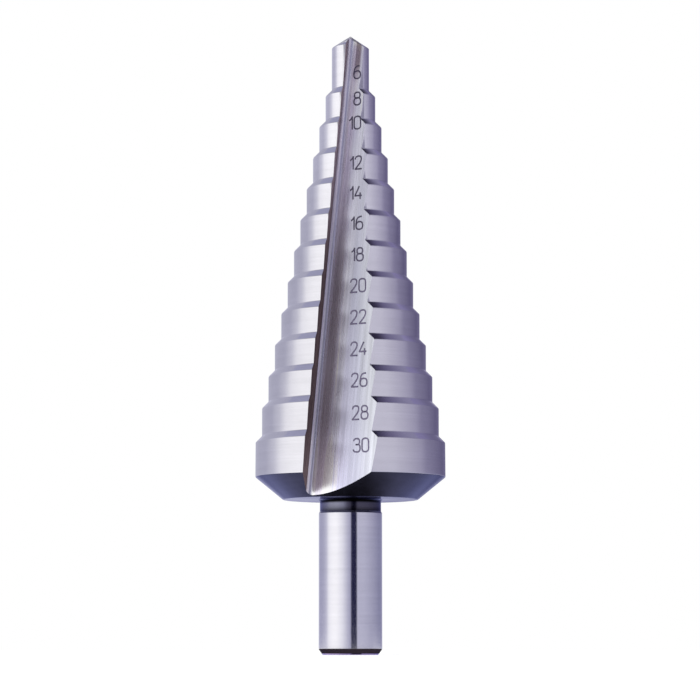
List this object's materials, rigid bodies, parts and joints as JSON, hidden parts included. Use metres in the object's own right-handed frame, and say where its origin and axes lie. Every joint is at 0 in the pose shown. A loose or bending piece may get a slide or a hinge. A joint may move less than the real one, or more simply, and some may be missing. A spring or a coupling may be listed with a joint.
{
  "type": "step drill",
  "caption": "Stepped conical drill bit with a plain round shank and straight V flutes, for opening round holes in sheet metal.",
  "frame": {"origin": "centre of the flat end of the shank", "axes": "+Z along the axis from the shank end to the drill point, -Y out of the flute that carries the size figures"},
  "size_m": [0.03, 0.0294, 0.0986],
  "materials": {
    "ground_steel": "bright ground high-speed steel, fine turning lines on the lands, grinding lines along the flutes"
  },
  "bodies": {
    "root": {"step_drill": "ground_steel"}
  },
  "joints": []
}
